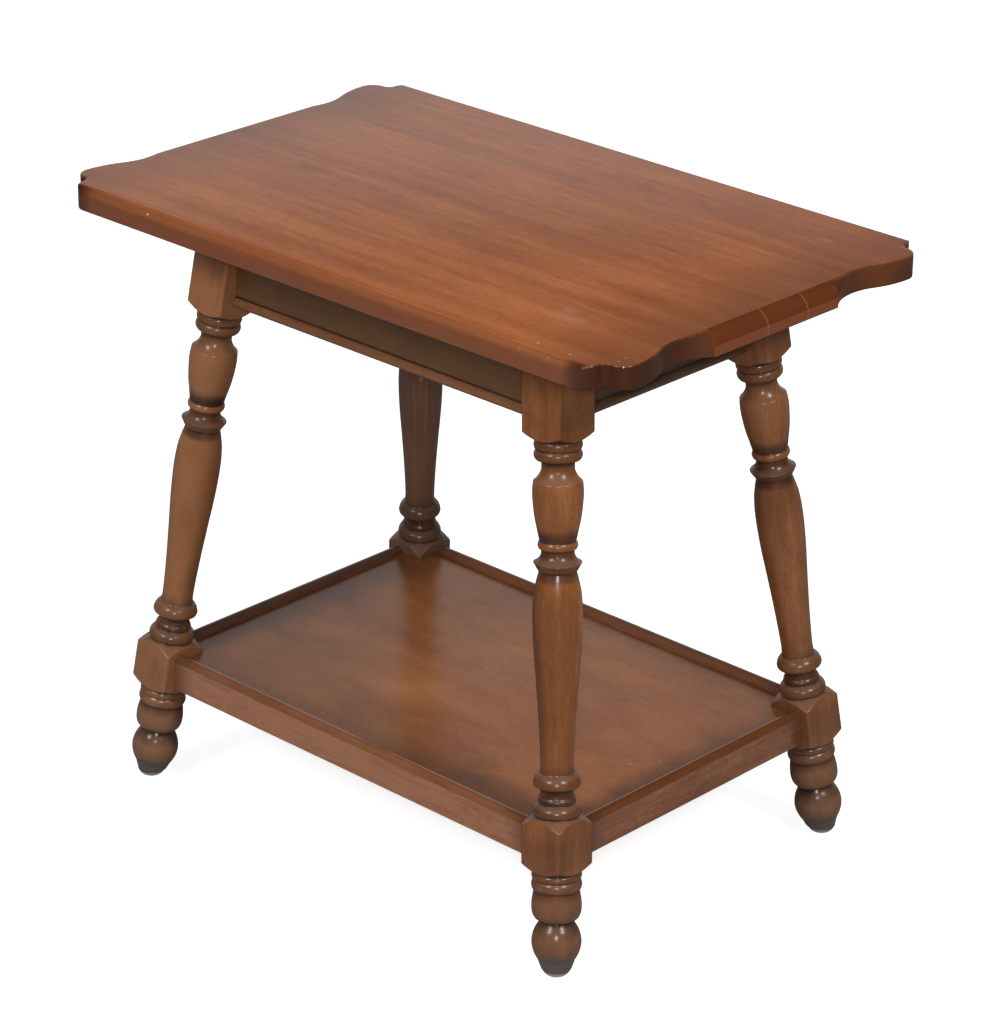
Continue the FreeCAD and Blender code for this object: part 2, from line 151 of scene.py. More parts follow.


# Top: five boards glued edge to edge, darker towards both ends, end grain darkest, with painted shade on the near side
# of the ends, rubbed pale along its arrises
top = {
    "height": 0.560, "tongueHalf": 0.075, "tongueRound": 0.012, "edgeRound": 0.1945, "joints": (-0.012, 0.037),
    "tones": (0.03, 0.0, -0.06, 0.04, -0.03), "boardShift": (0.37, 0.61),  # board by board, and its place in the grain
    # masks: what they follow, from where to where, and their strength at both
    "wornMasks": {
        "endEdge": ("reachX", 0.270, 0.280, 0, 1), "pastTongue": ("reachY", 0.108, 0.112, 0, 1),
        "sideEdge": ("reachY", 0.186, 0.189, 0, 1), "belowEdge": ("depth", 0.0015, 0.003, 0, 1),
        "endGrain": ("reachX", 0.285, 0.295, 0, 1), "underside": ("depth", 0.0195, 0.0204, 0, 1),
    },
    "stainMasks": {
        "below": ("depth", 0.0001, 0.0012, 0, 1), "longSide": ("reachY", 0.190, 0.1945, 0, 1),
        "low": ("depth", 0.0045, 0.0085, 0, 1), "bottom": ("depth", 0.0186, 0.0204, 0, 1),
        "nearEnd": ("reachX", 0.215, 0.312, 0, 0.75), "blotchy": ("cloud", 0.35, 0.65, 0.45, 1),
        "offFace": ("depth", 0, 0.0005, 0, 1), "atEnd": ("reachX", 0.272, 0.292, 0, 1),
        "mottled": ("cloud", 0.45, 0.6, 0, 0.6), "nearSide": ("side", -0.075, -0.12, 0, 1),
        "tongue": ("reachY", 0.0744, 0.0756, 1, 0), "offTongue": ("reachY", 0.074, 0.077, 0, 1),
        "rolledOver": ("depth", 0, 0.0025, 0.6, 1), "square": ("depth", 0.0114, 0.0124, 0, 1),
        "uneven": ("fibre", 0.3, 0.7, 0.55, 1), "rubbed": ("fibre", 0.4, 0.68, 0, 0.6),
        "hazy": ("fibre", 0.35, 0.7, 0.12, 0.5),
    },
    "smoothMasks": ("below", "nearEnd"),
    "lineHalf": {"edgeLine": 0.0009, "squareLine": 0.0009, "endLine": 0.0007, "tongueLine": 0.0011, "glue": 0.0006},
    "endLineDepth": 0.0007,
    "shades": {
        "edgeLine": "#6b3b20", "longEdge": "#845036", "longEdgeLow": "#7c4325", "longEdgeBottom": "#8f5d47",
        "nearEnd": "#7a472f", "ends": "#63371f", "endMottle": "#4d2918", "endNearSidePaintedShade": "#43210f",
        "rolled": "#6a341a", "square": "#854b2c", "squareLine": "#94593a", "endLine": "#8f5c3a",
        "tongueLine": "#8a5536", "glue": "#9a6f52", "haze": "#c6a48c", "chip": "#e8cfae",
    },
    # rubbed whitish: place and half-size, metres
    "haze": [((0.206, -0.123, 0.56), (0.014, 0.013, 1)), ((0.220, -0.132, 0.56), (0.022, 0.012, 1)),
             ((0.245, 0.147, 0.56), (0.013, 0.005, 1))],
    # chips through the lacquer to pale wood: place and half-length, metres
    "chips": [
        ((0.2273, -0.2000, 0.5572), 0.0013), ((0.2357, -0.1878, 0.5600), 0.0016), ((0.2571, -0.1994, 0.5579), 0.0014),
        ((0.2759, -0.1994, 0.5580), 0.0013), ((0.2842, -0.1994, 0.5583), 0.0012), ((0.2951, -0.1998, 0.5590), 0.0011),
        ((0.2693, -0.1879, 0.5600), 0.0014), ((0.3054, -0.1724, 0.5600), 0.0012), ((0.3043, -0.1632, 0.5600), 0.0010),
        ((-0.2689, -0.1998, 0.5402), 0.0018), ((-0.2621, -0.1998, 0.5402), 0.0014),
        ((-0.2015, -0.1994, 0.5568), 0.0014)],
    "chipShape": (1.5, 0.8, 0.8),  # times its half-length
}
topLook = {
    "turn": alongX, "shift": (0, 0, 0), "tone": 0.0,
    # length and width of the patterns in metres; mottle stands in for pores of a tenth of that
    "streak": (0.34, 0.016), "fibre": (0.03, 0.0011), "cloud": (0.13, 0.05), "mottle": (0.006, 0.0022),
    "streakDepth": 0.6, "fibreDepth": 0.5, "cloudDepth": 0.55, "mottleDepth": 0.3,
    "dark": "#8e4923", "middle": "#b06435", "light": "#cc7b48",
    "rough": 0.34, "lacquer": 1.0, "gloss": 0.15,
    "patches": [  # lighter and darker areas, partly stain and partly painted light and shade: place, half-size, lift of the tone
        ((0.10, -0.125, 0.56), (0.16, 0.06, 1), 0.1), ((0.04, 0.06, 0.56), (0.16, 0.05, 1), 0.05),
        ((0.04, 0.15, 0.56), (0.18, 0.03, 1), -0.1), ((-0.20, -0.065, 0.56), (0.12, 0.035, 1), -0.08),
        ((0.23, -0.06, 0.56), (0.05, 0.03, 1), -0.12), ((0.265, 0.055, 0.56), (0.05, 0.035, 1), -0.14),
        ((-0.186, -0.0285, 0.56), (0.026, 0.014, 1), -0.16), ((0.262, -0.165, 0.56), (0.05, 0.02, 1), -0.04)],
}


def topMasks(tree, at, grain, ranges):  # what is measured on the top, and its masks by name
    here = add(tree, "ShaderNodeSeparateXYZ", [at])
    measured = dict(grain, side=here["Y"])
    measured["reachX"] = add(tree, "ShaderNodeMath", [here["X"]], operation="ABSOLUTE")[0]
    measured["reachY"] = add(tree, "ShaderNodeMath", [here["Y"]], operation="ABSOLUTE")[0]
    measured["depth"] = add(tree, "ShaderNodeMath", [top["height"], here["Z"]], operation="SUBTRACT")[0]
    masks = {}
    for name, (what, *limits) in ranges.items():
        fade = "SMOOTHSTEP" if name in top["smoothMasks"] else "LINEAR"
        masks[name] = add(tree, "ShaderNodeMapRange", [measured[what], *limits], interpolation_type=fade)[0]
    return measured, masks


def topWear(tree, at):  # the outside edges, then the end grain below them and the underside
    masks = topMasks(tree, at, {}, top["wornMasks"])[1]
    endEdge = overlap(tree, masks["endEdge"], masks["pastTongue"])
    edge = add(tree, "ShaderNodeMath", [endEdge, masks["sideEdge"]], operation="MAXIMUM")[0]
    bare = overlap(tree, masks["belowEdge"], masks["endGrain"])
    return edge, add(tree, "ShaderNodeMath", [bare, masks["underside"]], operation="MAXIMUM")[0]


def topCoats(tree, at, grain):
    measured, masks = topMasks(tree, at, grain, top["stainMasks"])
    depth, reachY, lineHalf = measured["depth"], measured["reachY"], top["lineHalf"]
    uneven, rubbed = masks["uneven"], masks["rubbed"]
    longEdge = overlap(tree, uneven, masks["below"], masks["longSide"])
    ends = overlap(tree, masks["offFace"], masks["atEnd"])
    onTongue = overlap(tree, ends, masks["tongue"])
    coats = [
        ("edgeLine", thinLine(tree, reachY, top["edgeRound"], lineHalf["edgeLine"]), rubbed),
        ("longEdge", longEdge), ("longEdgeLow", longEdge, masks["low"]), ("longEdgeBottom", longEdge, masks["bottom"]),
        ("nearEnd", masks["nearEnd"], masks["blotchy"]),
        # end grain, its mottling, and painted shade on the near side of the ends
        ("ends", ends), ("endMottle", ends, masks["mottled"]), ("endNearSidePaintedShade", ends, masks["nearSide"]),
        ("rolled", onTongue, uneven, masks["rolledOver"]), ("square", onTongue, uneven, masks["square"]),
        ("squareLine", onTongue, thinLine(tree, depth, top["tongueRound"], lineHalf["squareLine"]), rubbed),
        ("endLine", ends, masks["offTongue"], thinLine(tree, depth, top["endLineDepth"], lineHalf["endLine"]), rubbed),
        ("tongueLine", ends, thinLine(tree, reachY, top["tongueHalf"], lineHalf["tongueLine"]), rubbed),
    ]
    for joint in top["joints"]:  # pale glue squeezed out where the end is shaped
        coats.append(("glue", onTongue, thinLine(tree, measured["side"], joint, lineHalf["glue"]), uneven))
    for middle, size in top["haze"]:
        coats.append(("haze", softSpot(tree, at, middle, size), masks["hazy"]))
    return [(overlap(tree, *where), top["shades"][name]) for name, *where in coats]


def chippedTopCoats(tree, at, grain):
    coats = topCoats(tree, at, grain)
    for place, half in top["chips"]:
        size = [half * share for share in top["chipShape"]]
        coats.append((softSpot(tree, at, place, size), top["shades"]["chip"]))
    return coats


for i, tone in enumerate(top["tones"]):
    shift = (top["boardShift"][0] * i, top["boardShift"][1] * i, 0.0)
    coats = chippedTopCoats if i == 0 else topCoats
    look = dict(topLook, shift=shift, tone=tone, wear=topWear, coats=coats)
    dress(stainedMaple("stainedMapleBoard%d" % (i + 1), look), "top_board_%d" % (i + 1))
print("top dressed")

# Frame: aprons, beads and shelf rails, with painted shade where the rails meet the leg blocks, over the beads, and on
# the right apron and bead
frameLook = dict(topLook, streak=(0.2, 0.012), streakDepth=0.45, cloud=(0.07, 0.03), patches=[],
                 gloss=0.24, lacquer=0.6, rough=0.4)
sides = {  # turn of the grain, and each side's place in it
    "front": (alongX, (1.5, 1.0, 0)), "back": (alongX, (1.2, 0.8, 0)),
    "left": (alongY, (1.2, 0.8, 0)), "right": (alongY, (1.5, 1.0, 0)),
}
rail = {
    "stain": {"dark": "#643a23", "middle": "#865236", "light": "#ac7556"}, "lacquer": 1.0, "gloss": 0.18,
    "tones": {"front": 0.3, "back": 0.0, "left": -0.04, "right": -0.03},
    "bullnoseFrom": 0.1230, "bullnoseFade": (-0.0002, 0.0006), "blotches": (0.35, 0.65, 0.7, 1.0),
    "bullnoses": {"front": "#7a4a2d", "back": "#744c37", "left": "#684c3e", "right": "#6e3d1d"},
    # where the bullnose's inner edge is, and a painted reflection along it: pale pinkish grey on the front and right
    # rails
    "inside": {"front": 0.1597, "back": 0.1597, "left": 0.2380, "right": 0.2380}, "paintedReflectionFade": (0.0008, 0.0028),
    "paintedReflectionShare": {"front": 0.75, "back": 0.0, "left": 0.0, "right": 0.5}, "paintedReflection": "#8f7268",
    "edges": {"front": 0.35, "back": 0.0, "left": 0.0, "right": 0.1}, "rubbedFibre": (0.35, 0.65),
    "edgeHalf": 0.0008, "edge": "#b58a68",
    "block": {"front": 0.2165, "back": 0.2165, "left": 0.1375, "right": 0.1375},
    # painted shade: the rails darker towards the leg blocks
    "paintedShadeReach": 0.03, "paintedShadeMost": 0.6, "glaze": "#4c2f1e",
}
apron = {
    "stain": {"dark": "#5d3f26", "middle": "#6b482a", "light": "#775232"}, "tone": -0.02,
    # the right side's stain, darker and greyer: painted shade under the top's overhang
    "rightPaintedShadeStain": {"dark": "#4b3928", "middle": "#57412d", "light": "#614b35"},
    # painted shadow: a dark line on the apron just over the bead
    "paintedShadowOverBead": (0.4708, 0.4725), "glaze": "#24150d",
}
bead = {
    "stain": {"dark": "#694531", "middle": "#7f5338", "light": "#916446"}, "tone": 0.0,
    # the right side's stain, darker and greyer: painted shade under the top's overhang
    "rightPaintedShadeStain": {"dark": "#533d31", "middle": "#644a38", "light": "#735946"},
}


def railCoats(side):
    lengthwise, crosswise = ("X", "Y") if side in ("front", "back") else ("Y", "X")
    block = rail["block"][side]

    def coats(tree, at, grain):
        here = add(tree, "ShaderNodeSeparateXYZ", [at])
        reach = add(tree, "ShaderNodeMath", [here[lengthwise]], operation="ABSOLUTE")[0]
        across = add(tree, "ShaderNodeMath", [here[crosswise]], operation="ABSOLUTE")[0]
        start, end = [rail["bullnoseFrom"] + fade for fade in rail["bullnoseFade"]]
        rounded = add(tree, "ShaderNodeMapRange", [here["Z"], start, end])[0]
        blotchy = add(tree, "ShaderNodeMapRange", [grain["cloud"], *rail["blotches"]])[0]
        # painted reflection along the bullnose's inner edge
        start, end = [rail["inside"][side] + fade for fade in rail["paintedReflectionFade"]]
        paintedReflectionShare = add(tree, "ShaderNodeMapRange", [across, start, end, rail["paintedReflectionShare"][side], 0.0])[0]
        rubbed = add(tree, "ShaderNodeMapRange", [grain["fibre"], *rail["rubbedFibre"], 0.0, rail["edges"][side]])[0]
        edge = thinLine(tree, here["Z"], rail["bullnoseFrom"], rail["edgeHalf"])
        # painted shade towards the leg blocks
        paintedShadeNearLeg = add(tree, "ShaderNodeMapRange", [reach, block - rail["paintedShadeReach"], block, 0.0, rail["paintedShadeMost"]],
                      interpolation_type="SMOOTHSTEP")[0]
        return [(overlap(tree, rounded, blotchy), rail["bullnoses"][side]),
                (overlap(tree, rounded, paintedReflectionShare), rail["paintedReflection"]),
                (overlap(tree, edge, rubbed), rail["edge"]), (paintedShadeNearLeg, rail["glaze"])]
    return coats


def apronCoats(tree, at, grain):
    # painted shadow in the groove over the bead
    height = add(tree, "ShaderNodeSeparateXYZ", [at])["Z"]
    return [(add(tree, "ShaderNodeMapRange", [height, *apron["paintedShadowOverBead"], 1.0, 0.0])[0], apron["glaze"])]


for side, (turn, shift) in sides.items():
    look = dict(frameLook, turn=turn, shift=shift)
    # the right apron and bead take the darker stain: painted shade under the top
    stain = "rightPaintedShadeStain" if side == "right" else "stain"
    railLook = dict(look, lacquer=rail["lacquer"], gloss=rail["gloss"], tone=rail["tones"][side], coats=railCoats(side))
    apronLook = dict(look, tone=apron["tone"], coats=apronCoats)
    beadLook = dict(look, tone=bead["tone"])
    dress(stainedMaple("stainedMapleRail_" + side, dict(railLook, **rail["stain"])), "rail_" + side)
    dress(stainedMaple("stainedMapleApron_" + side, dict(apronLook, **apron[stain])), "apron_" + side)
    dress(stainedMaple("stainedMapleBead_" + side, dict(beadLook, **bead[stain])), "bead_" + side)
print("rails, aprons and beads dressed")

# Shelf: mottled maple, darker towards the rails: partly stain sprayed darker, partly painted shade of the rails, widest
# at the left and front
shelf = {
    # darker towards the rails: partly sprayed stain, partly painted shade, by side
    "inside": (0.2380, 0.1597), "shadeReach": {"left": 0.055, "right": 0.028, "front": 0.05, "back": 0.012},
    "shadeSwing": 0.025, "shadeMost": 0.6, "shade": "#55301b",
    "specks": ((0.2004, -0.0283, 0.1225), (0.2161, -0.0078, 0.1225), (-0.2300, 0.0932, 0.1225),
               (-0.1243, 0.1500, 0.1225)),
    "speckSize": (0.0014, 0.0011, 0.002), "speck": "#c9ab90",  # dust under the lacquer
}
shelfLook = dict(
    topLook, dark="#764224", middle="#985c33", light="#ae7243", gloss=0.24, rough=0.36,
    streak=(0.06, 0.02), cloud=(0.075, 0.04), mottle=(0.005, 0.0028), streakDepth=0.25, fibreDepth=0.2, cloudDepth=0.6,
    # lighter and darker areas: partly stain, partly painted light and shade
    patches=[((-0.033, -0.058, 0.12), (0.07, 0.045, 1), 0.28), ((-0.11, -0.02, 0.12), (0.06, 0.09, 1), -0.06),
             ((0.146, 0.115, 0.12), (0.09, 0.05, 1), -0.14), ((-0.19, -0.09, 0.12), (0.06, 0.06, 1), -0.08)])


def shelfCoats(tree, at, grain):
    here = add(tree, "ShaderNodeSeparateXYZ", [at])
    centred = add(tree, "ShaderNodeMath", [grain["cloud"], maple["middle"]], operation="SUBTRACT")[0]
    coats = []
    for side, axis, sign in (("left", 0, 1), ("right", 0, -1), ("front", 1, 1), ("back", 1, -1)):
        gap = add(tree, "ShaderNodeMath", [here[axis], sign, shelf["inside"][axis]], operation="MULTIPLY_ADD")[0]
        uneven = add(tree, "ShaderNodeMath", [centred, shelf["shadeSwing"], gap], operation="MULTIPLY_ADD")[0]
        shaded = add(tree, "ShaderNodeMapRange", [uneven, 0.0, shelf["shadeReach"][side], shelf["shadeMost"], 0.0],
                     interpolation_type="SMOOTHSTEP")[0]
        coats.append((shaded, shelf["shade"]))
    for place in shelf["specks"]:
        coats.append((softSpot(tree, at, place, shelf["speckSize"]), shelf["speck"]))
    return coats


dress(stainedMaple("stainedMapleShelf", dict(shelfLook, coats=shelfCoats)), "shelf_panel")
print("shelf dressed")

# Hidden and small pieces: unfinished beech braces and dowels, zinc plated screws, nickel plated glides
beech = {"dark": "#b08a5c", "middle": "#c39d6e", "light": "#d3b184", "rough": 0.6, "lacquer": 0.0, "patches": []}
plating = {  # shade and roughness, then scuffs in metres
    "zinc": ("#b9bab6", 0.32), "nickel": ("#d4e0e2", 0.4),
    "scuff": 0.0025, "scuffDetail": 3.0, "scuffFade": (0.3, 0.7), "roughSwing": (-0.08, 0.12),
}


def platedSteel(name, shade, roughness):  # thin bright plating, dulled by handling
    made, tree = newMaterial(name)
    at = add(tree, "ShaderNodeTexCoord")["Object"]
    scuff = add(tree, "ShaderNodeTexNoise", {
        "Vector": at, "Scale": 1 / plating["scuff"], "Detail": plating["scuffDetail"]})[0]
    smoothest, roughest = [roughness + swing for swing in plating["roughSwing"]]
    rough = add(tree, "ShaderNodeMapRange", [scuff, *plating["scuffFade"], smoothest, roughest])[0]
    shader = add(tree, "ShaderNodeBsdfPrincipled", {
        "Base Color": linear(shade), "Metallic": 1.0, "Roughness": rough})[0]
    add(tree, "ShaderNodeOutputMaterial", {"Surface": shader})
    return made


bareBeech = stainedMaple("bareBeech", dict(topLook, **beech))  # the same close grain, with no finish on it
dress(bareBeech, "apron_dowels", "rail_dowels", *["brace_" + corner for corner in corners])
dress(platedSteel("zincPlatedSteel", *plating["zinc"]), "apron_screws", "top_screws")
dress(platedSteel("nickelPlatedSteel", *plating["nickel"]), *["glide_" + corner for corner in corners])
print("braces, dowels, screws and glides dressed")

# Turned legs: one outline from foot to head, squared off where the blocks are left. Glaze was wiped off the swellings
# and left in the grooves, the foot tips are dark, the corners are rubbed, and a painted sheen lies on ledges facing up
leg = {
    "stock": 0.042, "cornerPower": 32.0, "soften": 0.0005, "facets": 144,
    "height": 0.560, "headCut": 0.5394, "footCut": 0.0060, "footLevelling": 0.008, "headLevelling": 0.014,
    "foot": (0.2518, 0.1728), "head": (0.1858, 0.1108), "footTip": 11.0,
    "ringStep": 0.0009, "longRun": 0.03, "longRunRings": 3, "arcRings": 6, "curveRings": 2, "cutGap": 0.0004,
    # members from the floor up: length in mm, then strokes of (share of length, mm below the stock's face)
    "members": [
        (91.2, [[(0.047, 9.0)], [(0.114, 7.4)],
                [(0.155, 5.4), (0.192, 3.4), (0.232, 1.8), (0.274, 0.7), (0.329, 0.2), (0.395, 1.1), (0.455, 3.2),
                 (0.5, 5.8), (0.533, 7.4)],
                [(0.541, 4.8)], [(0.559, 2.7), (0.598, 0.8), (0.658, 0.1), (0.724, 0.4), (0.784, 1.3), (0.83, 2.2)],
                [(0.837, 0.9)], [(0.861, 0.1), (0.928, 1.8)], [(0.933, 2.2)], [(0.941, 0.7)],
                [(0.957, 0.2), (1.0, 1.8)]]),
        (48.79, [[(0.148, -9.5)], [(0.818, -9.5)], [(1.0, 2.6)]]),
        (36.6, [[(0.016, 1.4)], [(0.148, 1.0), (0.279, 5.3)], [(0.292, 6.0)], [(0.355, 5.2), (0.437, 6.7)],
                [(0.519, 7.4), (0.656, 7.5)], [(0.672, 3.1)],
                [(0.7, 1.9), (0.749, 1.3), (0.815, 1.7), (0.888, 2.8), (0.951, 4.6), (1.0, 6.9)]]),
        (170.18, [[(0.053, 7.3), (0.223, 6.1), (0.418, 3.9), (0.619, 1.4), (0.779, 0.5), (0.889, 1.5), (0.96, 3.9),
                   (1.0, 5.8)]]),
        (25.0, [[(0.021, 4.8)], [(0.285, 1.1)], [(0.397, 5.0), (0.569, 7.4)], [(0.729, 7.4)], [(0.749, 5.6)],
                [(0.861, 4.6), (1.0, 6.0)]]),
        (66.8, [[(0.123, 4.3), (0.301, 1.9), (0.511, 0.4), (0.632, 0.2), (0.741, 0.8)], [(0.803, 4.8), (0.887, 7.4)],
                [(1.0, 7.5)]]),
        (16.6, [[(0.032, 3.0)], [(0.255, 1.2), (0.52, 2.7)], [(0.55, 3.4)], [(0.586, 2.1)],
                [(0.785, 1.2), (1.0, 2.2)]]),
        (112.11, [[(0.064, -9.5)], [(1.0, -9.5)]]),
    ],
    # how much glaze was left, by mm along the leg
    "glaze": [
        (34, 0), (43, 0.6), (49, 0.9), (50, 0.1), (66, 0.05), (74, 0.6), (76, 0.8), (77, 0.3), (84.5, 0.3), (85.1, 0.9),
        (86, 0.35), (90, 0.4), (92, 0.85), (98, 0.8), (99, 0.05), (131, 0.05), (132, 0.2), (138, 0.3), (139.5, 0.6),
        (140.4, 0.95), (141.5, 0.5), (149, 0.5), (151, 0.75), (158, 0.7), (163.5, 0.85), (165, 0.4), (174, 0.45),
        (177, 0.55), (186, 0.2), (230, 0.05), (338, 0.05), (341, 0.5), (347, 0.8), (348, 0.45), (353.5, 0.4),
        (355, 0.5), (364.5, 0.8), (366, 0.1), (371, 0.15), (372, 0.85), (378, 0.75), (386, 0.05), (421, 0.0),
        (422, 0.15), (432, 0.35), (438, 0.85), (440, 0.4), (446.5, 0.4), (447.7, 0.9), (449, 0.45), (454, 0.5), (456, 0.85),
        (462, 0.7), (463, 0.1), (568, 0.1)],
    "glazeLip": (-0.0004, 0.0002), "glazeSwing": 0.9, "glazeFade": (0.12, 0.88),
    "shoulderRadius": (0.0245, 0.0304), "shoulderAlong": (0.125, 0.145), "arrisWidth": 0.0009,  # above the lower block
    "rubbedStreak": (0.4, 0.65, 0.1, 0.6), "greyNearFloor": (0.03, 0.15, 0.45, 0.0),
    # painted sheen: pale pinkish grey on up-facing ledges, where they mirror light from above
    "paintedSheenOnLedges": (0.45, 0.85, 0.0, 0.28),
    "tipDarkHeight": 0.0135, "tipFade": (-0.0004, 0.0005), "tipMost": 0.9,
    "tipRise": (0.31, -0.325, 0.0),  # the dark tip runs higher towards the front right
    "shades": {"grey": "#695347", "glaze": "#3a251b", "paintedSheen": "#8a7166", "arris": "#b58459", "tip": "#625650"},
    # by leg: tone and greyness of the stain, then lighter and darker areas, mostly painted light and shade, by place in
    # the stock, half-size and lift
    "stainAndPaintedLight": {
        "front_left": {"tone": 0.39, "grey": 0.18, "patches": [
            # a darker band low on the leg, and painted shadow of the top on the upper block
            ((0, 0, 0.115), (0.15, 0.15, 0.025), -0.14), ((0, 0, 0.535), (0.15, 0.15, 0.06), -0.5)]},
        "front_right": {"tone": 0.0, "grey": 0.0, "patches": [
            # painted shade over the vase, and a darker band low on the leg
            ((0, 0, 0.265), (0.15, 0.15, 0.11), -0.14), ((0, 0, 0.115), (0.15, 0.15, 0.03), -0.1),
            # painted shade on the vase's side towards -X -Y, painted light on its side towards +X +Y
            ((-0.0145, -0.0138, 0.27), (0.022, 0.022, 0.14), -0.36),
            ((0.0145, 0.0138, 0.31), (0.022, 0.022, 0.2), 0.36),
            # painted light on the upper block's +X face, painted shade on the vase's lit front
            ((0.021, 0, 0.50), (0.012, 0.03, 0.08), 0.15), ((0.007, -0.0186, 0.305), (0.013, 0.013, 0.05), -0.15)]},
        "back_left": {"tone": 0.2, "grey": 0.7, "patches": []},
        "back_right": {"tone": 0.1, "grey": 0.12, "patches": [
            # a darker band low on the leg, and painted shade of the top high on the leg
            ((0, 0, 0.115), (0.15, 0.15, 0.035), -0.2), ((0, 0, 0.51), (0.15, 0.15, 0.07), -0.3),
            # a darker band over the vase
            ((0, 0, 0.335), (0.15, 0.15, 0.05), -0.2)]},
    },
}
legLook = dict(
    frameLook, dark="#683c20", middle="#84502c", light="#a56d44", lacquer=0.55, gloss=0.23, turn=alongZ,
    point="grainAt", toneFrom="legTone", streak=(0.12, 0.007), cloud=(0.05, 0.02), streakDepth=0.3,
    fibreDepth=0.3, mottleDepth=0.25)


def legPatches():  # all the legs' lighter and darker areas, mostly painted light and shade, where the grain is measured from the middle of the floor
    made = []
    for corner, (sideX, sideY) in corners.items():
        for (x, y, z), size, lift in leg["stainAndPaintedLight"][corner]["patches"]:
            made.append(((leg["foot"][0] * sideX + x, leg["foot"][1] * sideY + y, z), size, lift))
    return made


def legCoats(tree, at, grain):
    carried = ("glaze", "arris", "legGrey")
    glaze, arris, grey = [add(tree, "ShaderNodeAttribute", attribute_name=name)["Fac"] for name in carried]
    inStock = add(tree, "ShaderNodeAttribute", attribute_name="stockAt")["Vector"]
    height = add(tree, "ShaderNodeSeparateXYZ", [inStock])["Z"]
    greyed = add(tree, "ShaderNodeMapRange", [height, *leg["greyNearFloor"]], interpolation_type="SMOOTHSTEP")[0]
    greyed = add(tree, "ShaderNodeMath", [greyed, grey], operation="ADD", use_clamp=True)[0]
    centred = add(tree, "ShaderNodeMath", [grain["cloud"], maple["middle"]], operation="SUBTRACT")[0]
    wiped = add(tree, "ShaderNodeMath", [centred, leg["glazeSwing"], glaze], operation="MULTIPLY_ADD")[0]
    wiped = add(tree, "ShaderNodeMapRange", [wiped, *leg["glazeFade"]])[0]
    # painted sheen on surfaces facing up
    facing = add(tree, "ShaderNodeSeparateXYZ", [add(tree, "ShaderNodeNewGeometry")["Normal"]])["Z"]
    paintedSheenMask = add(tree, "ShaderNodeMapRange", [facing, *leg["paintedSheenOnLedges"]], interpolation_type="SMOOTHSTEP")[0]
    rubbed = add(tree, "ShaderNodeMapRange", [grain["streak"], *leg["rubbedStreak"]])[0]
    rise = add(tree, "ShaderNodeVectorMath", {0: inStock, 1: leg["tipRise"]}, operation="DOT_PRODUCT")["Value"]
    overTip = add(tree, "ShaderNodeMath", [height, rise], operation="SUBTRACT")[0]
    start, end = [leg["tipDarkHeight"] + fade for fade in leg["tipFade"]]
    tipped = add(tree, "ShaderNodeMapRange", [overTip, start, end, leg["tipMost"], 0.0])[0]
    shades = leg["shades"]
    return [(greyed, shades["grey"]), (wiped, shades["glaze"]), (paintedSheenMask, shades["paintedSheen"]),
            (overlap(tree, arris, rubbed), shades["arris"]), (tipped, shades["tip"])]


def strokePoints(points):  # a line, an arc through three points, or a smooth curve through more
    step = leg["ringStep"]
    if len(points) == 2:
        a, b = points
        run = (b - a).length
        count = leg["longRunRings"] if run > leg["longRun"] else math.ceil(run / step)
        return [a.lerp(b, i / count) for i in range(1, count + 1)]
    if len(points) == 3:
        a, b, c = points
        ab, ac = b - a, c - a
        area = 2 * (ab.x * ac.y - ab.y * ac.x)
        centre = a + Vector((ac.y * ab.dot(ab) - ab.y * ac.dot(ac), ab.x * ac.dot(ac) - ac.x * ab.dot(ab))) / area
        start, end = [math.atan2((p - centre).y, (p - centre).x) for p in (a, c)]
        sweep = (end - start + math.pi) % (2 * math.pi) - math.pi
        radius = (a - centre).length
        count = max(leg["arcRings"], math.ceil(abs(sweep) * radius / step))
        angles = [start + sweep * i / count for i in range(1, count + 1)]
        return [centre + Vector((math.cos(angle), math.sin(angle))) * radius for angle in angles]
    last = len(points) - 1
    ends = [(points[max(i - 1, 0)], points[min(i + 1, last)]) for i in range(last + 1)]
    slopes = [(b.x - a.x) / (b.y - a.y) for a, b in ends]
    made = []
    for i in range(last):
        a, b = points[i], points[i + 1]
        rise = b.y - a.y
        count = max(leg["curveRings"], math.ceil((b - a).length / step))
        for t in [j / count for j in range(1, count + 1)]:
            pull = slopes[i] * rise * t * (1 - t) ** 2 - slopes[i + 1] * rise * t * t * (1 - t)
            made.append(Vector((a.x + (b.x - a.x) * t * t * (3 - 2 * t) + pull, a.y + rise * t)))
    return made


def legOutline():  # (radius, distance along the leg) in metres, between the two level cuts
    half, gap = leg["stock"] / 2, leg["cutGap"]
    here = Vector((half - leg["footTip"] / 1000, 0))
    outline, start = [here], 0.0
    for length, strokes in leg["members"]:
        for stroke in strokes:
            points = [here] + [Vector((half - depth / 1000, start + share * length / 1000)) for share, depth in stroke]
            outline += strokePoints(points)
            here = points[-1]
        start += length / 1000
    (footX, footY), (headX, headY) = leg["foot"], leg["head"]
    lean = Vector((headX - footX, headY - footY, leg["height"])).length / leg["height"]
    first, last = leg["footCut"] * lean, leg["headCut"] * lean
    kept = [p for p in outline if first + gap < p.y < last - gap]
    return [Vector((kept[0].x - gap, first))] + kept + [Vector((kept[-1].x, last))]


def legGlaze(outline):  # glaze at each ring of the outline
    made = []
    for p in outline:
        i = next((i for i, (mm, _) in enumerate(leg["glaze"]) if mm > p.y * 1000), 0)
        if i == 0:
            made.append(0.0)
            continue
        (a, before), (b, after) = leg["glaze"][i - 1:i + 1]
        made.append(before + (after - before) * (p.y * 1000 - a) / (b - a))
    return made


def legShoulder(p):  # 1 on the turned shoulder above the lower block
    (thin, thick), (low, high) = leg["shoulderRadius"], leg["shoulderAlong"]
    return 1.0 if thin < p.x < thick and low < p.y < high else 0.0


